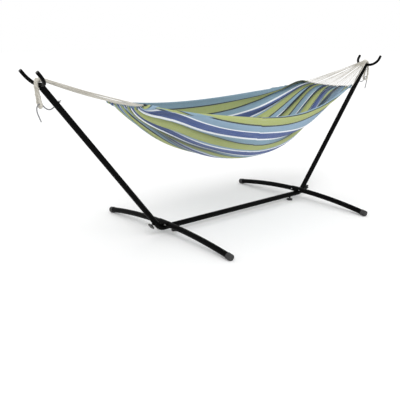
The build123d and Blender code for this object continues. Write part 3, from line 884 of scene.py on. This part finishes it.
# ---- strings ----
# Twenty-four two-ply cotton strings fan out from the gathered neck at each end, and each is
# looped through the sewn end of the cloth and knotted.
cotton = spun("natural_cotton", srgb(214, 211, 202), srgb(158, 152, 140), 0.3)
swing_z = 0.962
neck_in_x, neck_out_x = 1.340, 1.362
string_pitch = 0.0041
string_rows = 4
string_inside = 0.010     # from the neck's inner end to where the strings start in it
ply_r, ply_offset = 0.00108, 0.00092
loop_r, loop_rise, loop_depth = 0.00095, 0.0034, 0.012
knot_size, knot_cord_r = 0.00095, 0.00105
string_sway, string_sag = 0.006, 0.014
ply_lay = 0.011          # length in which the two plies turn once
knot_gap = 0.006         # from the cloth's end to its knots


def twisted(points, strands, strand_r, offset, lay, around=5, step=0.0016, start_turn=0.0):
    """Strands laid round a line of points, as in a twisted cord."""
    points = np.asarray(points, float)
    steps = distances(points)
    count = max(int(steps[-1] / step), 4)
    at = np.linspace(0, steps[-1], count)
    line = points_at(at, steps, points)
    normals, binormals = cross_directions(unit(np.gradient(line, axis=0)))
    made = []
    for strand in range(strands):
        turn = (at * 2 * math.pi / lay + start_turn + strand * 2 * math.pi / strands)[:, None]
        wound = line + offset * (np.cos(turn) * normals + np.sin(turn) * binormals)
        made.append(tube(wound, strand_r, around))
    return made


def overhand(centre, size, cord_r, tilt, around=6, count=44):
    """A closed overhand knot, drawn tight."""
    t = np.linspace(0, 2 * math.pi, count, endpoint=False)
    shape = np.stack((np.sin(t) + 2 * np.sin(2 * t), np.cos(t) - 2 * np.cos(2 * t), -1.1 * np.sin(3 * t)), 1)
    axis = unit(np.asarray(tilt, float))
    first = unit(np.cross(axis, (0.3, 0.5, 0.81)))
    basis = np.stack((first, np.cross(axis, first), axis))
    return tube(np.asarray(centre) + size * shape @ basis, cord_r, around, closed=True)


columns = string_count // string_rows
random.seed(5)
for side, sign in (("right", 1), ("left", -1)):
    end_station = station_count - 1 if sign > 0 else 0
    strings = []
    for k in range(string_count):
        column, row = divmod(k, string_rows)
        start = np.array((
            neck_in_x + string_inside, (column - (columns - 1) / 2) * string_pitch,
            swing_z + (row - (string_rows - 1) / 2) * string_pitch))
        crest = grid[end_station][int(np.argmin(np.abs(phase - k)))]
        cloth_end = abs(crest[0])
        hole = np.array((cloth_end - loop_depth, crest[1], crest[2]))
        knot_x = cloth_end + knot_gap + random.uniform(-0.002, 0.006)
        knot = np.array((knot_x, crest[1], crest[2] + 0.001))
        slack = np.array((0, random.uniform(-string_sway, string_sway), -random.uniform(0.0, string_sag)))
        middle = (start + knot) / 2 + slack
        way = np.linspace(0, 1, 9)[:, None]
        line = (1 - way) ** 2 * start + 2 * way * (1 - way) * middle + way**2 * knot
        strings += twisted(line, 2, ply_r, ply_offset, ply_lay, 5, 0.0016, random.uniform(0, 6.28))
        tilt = (1, random.uniform(-0.8, 0.8), random.uniform(-0.5, 0.9))
        strings.append(overhand(knot, knot_size, knot_cord_r, tilt))
        # The loop goes through the hem, over its upper and under its lower face.
        turn = np.linspace(0, 2 * math.pi, 20, endpoint=False)
        reach = (knot[0] - hole[0]) / 2
        loop = np.stack(((knot[0] + hole[0]) / 2 + reach * np.cos(turn), np.full(20, crest[1]) + 0.0006
                         * np.sin(2 * turn), crest[2] + loop_rise * np.sin(turn)), 1)
        strings.append(tube(loop, loop_r, 6, closed=True))
    if sign < 0:
        strings = [mirrored(part) for part in strings]
    build(f"string_fan_{side}", strings, cotton, "hammock", [f"strings_{side}"])

# ---- gathered neck ----
# All the strings of an end are laid together and whipped with seven turns of cotton cord.
whip_r = 0.0016
whip_turns = 7
neck_core_r = 0.0125
whip_line_r = neck_core_r + 0.0004
neck_parts = []
angle = np.linspace(0, whip_turns * 2 * math.pi, whip_turns * 28)
neck_axis = np.linspace(neck_in_x + whip_r, neck_out_x - whip_r, len(angle))
neck_parts.append(tube(np.stack((
    neck_axis, whip_line_r * np.cos(angle), swing_z + whip_line_r * np.sin(angle)), 1), whip_r, 8))
core_line = np.array([(x, 0, swing_z) for x in np.linspace(neck_in_x - 0.001, neck_out_x + 0.0016, 12)])
core_radii = np.array((0.0112, 0.0122, *([neck_core_r] * 7), 0.0120, 0.0106, 0.0080))
neck_parts.append(tube(core_line, core_radii, 32))
for side, parts in (("right", neck_parts), ("left", [mirrored(part) for part in neck_parts])):
    build(f"whipped_neck_{side}", parts, cotton, "hammock", [f"gathered_neck_{side}"])

# ---- rope eyes ----
# Each end finishes in a cotton rope eye, served with half-hitched cord over its whole length.
# It lies over the fork's base and hangs down outside the arm, tied to the arm.
eye_leg = [
    (1.3640, 0.0073, 0.9620), (1.3750, 0.0074, 0.9612), (1.3825, 0.0078, 0.9490), (1.3840, 0.0085, 0.9290),
    (1.3810, 0.0110, 0.8970), (1.3750, 0.0150, 0.8620), (1.3670, 0.0175, 0.8250),
]
# How much closer to its arm each point of an eye hangs.
eye_draw_in = {"right": (0,) * 7, "left": (0, 0.001, 0.004, 0.006, 0.006, 0.005, 0.003)}


def smooth_line(name, route):
    """Points along the smooth line that the route's points control."""
    curve = bpy.data.curves.new(name, "CURVE")
    curve.dimensions = "3D"
    curve.resolution_u = 16
    spline = curve.splines.new("NURBS")
    spline.points.add(len(route) - 1)
    for point, place in zip(spline.points, route):
        point.co = (*place, 1)
    spline.order_u = 3
    spline.use_endpoint_u = True
    holder = bpy.data.objects.new(name, curve)
    mesh = bpy.data.meshes.new_from_object(holder)
    line = np.array([tuple(vertex.co) for vertex in mesh.vertices])
    bpy.data.objects.remove(holder)
    bpy.data.curves.remove(curve)
    bpy.data.meshes.remove(mesh)
    return line


eye_core_r = 0.0057
serving_r = 0.0015
serving_lay = 0.0032
ridge_lay = 0.038
ridge_r = 0.0026
ridge_line_r = eye_core_r + 0.0010
for side, sign in (("right", 1), ("left", -1)):
    leg = [(sign * (x - draw), y, z) for (x, y, z), draw in zip(eye_leg, eye_draw_in[side])]
    line = smooth_line(f"eye_line_{side}", leg + [(x, -y, z) for x, y, z in reversed(leg)])
    parts = [tube(line, eye_core_r, 12)]
    parts += twisted(line, 1, serving_r, eye_core_r, serving_lay, 6, 0.00028)
    parts += twisted(line, 1, ridge_r, ridge_line_r, sign * ridge_lay, 7, 0.002)
    eye = build(f"rope_loop_{side}", parts, cotton, "stand", [f"rope_eye_{side}"])

# ---- tie cords ----
# A thin grey cord is knotted on the inner side of each arm, goes through the arm and the rope
# eye, and its end hangs free.
grey = spun("grey_cord", srgb(150, 151, 154), srgb(74, 75, 79), 0.3)
tie_up = 1.010
knot_face = on_arm(tie_up, -tube_r - 0.0002)
tie_bend = on_arm(tie_up, 0.023)
tie_strand_r, tie_strand_offset, tie_lay = 0.00155, 0.00200, 0.013
knot_out, fray_out = 0.0052, 0.008      # of the knot's middle and the frayed yarns, from the tube's skin
knot_yarns, tail_yarns = 16, 9
tie_start = [
    tuple(knot_face), tuple(tie_bend), (1.314, -0.002, 0.809), (1.336, -0.005, 0.816),
    (1.353, -0.0055, 0.833),
]
tie_end = {
    "right": [(1.367, -0.003, 0.849), (1.386, 0.0, 0.845), (1.396, 0.002, 0.828), (1.395, 0.0035, 0.806),
              (1.388, 0.003, 0.782), (1.377, 0.001, 0.758)],
    "left": [(1.362, -0.007, 0.846), (1.377, -0.007, 0.841), (1.387, -0.006, 0.826),
             (1.386, -0.005, 0.805), (1.379, -0.006, 0.782), (1.369, -0.008, 0.756)],
}
random.seed(23)
knot_parts = [overhand(on_arm(tie_up, -tube_r - knot_out), 0.0017, 0.0023, -arm_out, 8, 64)]
for _ in range(knot_yarns):
    # Frayed yarns stand out past the knot.
    lean = np.array((random.uniform(-0.5, 0.5), random.uniform(-0.5, 0.5), random.uniform(-0.2, 0.6)))
    heading = unit(-arm_out + lean)
    root = on_arm(tie_up, -tube_r - fray_out)
    length = random.uniform(0.006, 0.013)
    curl = np.array((random.uniform(-1, 1), random.uniform(-1, 1), -0.6)) * 0.0025
    way = np.linspace(0, 1, 6)[:, None]
    knot_parts.append(tube(root + heading * length * way + curl * way**2, np.linspace(0.0005, 0.0002, 6), 5))
for side, sign in (("right", 1), ("left", -1)):
    knot = build(f"stopper_knot_{side}", knot_parts if sign > 0 else [mirrored(part) for part in knot_parts],
                 grey, "stand", [f"tie_knot_{side}"])
    line = smooth_line(f"tie_line_{side}", [(sign * x, y, z) for x, y, z in tie_start + tie_end[side]])
    parts = twisted(line, 3, tie_strand_r, tie_strand_offset, sign * tie_lay, 7, 0.0012)
    tail = line[-1]
    for _ in range(tail_yarns):
        lean = np.array((random.uniform(-0.002, 0.002), random.uniform(-0.002, 0.002), -0.0055))
        begin = tail + np.array((random.uniform(-0.0015, 0.0015), random.uniform(-0.0015, 0.0015), 0.002))
        way = np.linspace(0, 1, 4)[:, None]
        parts.append(tube(begin + lean * way, np.linspace(0.0006, 0.0003, 4), 5))
    tie = build(f"tie_{side}", parts, grey, "stand", [f"tie_cord_{side}"])
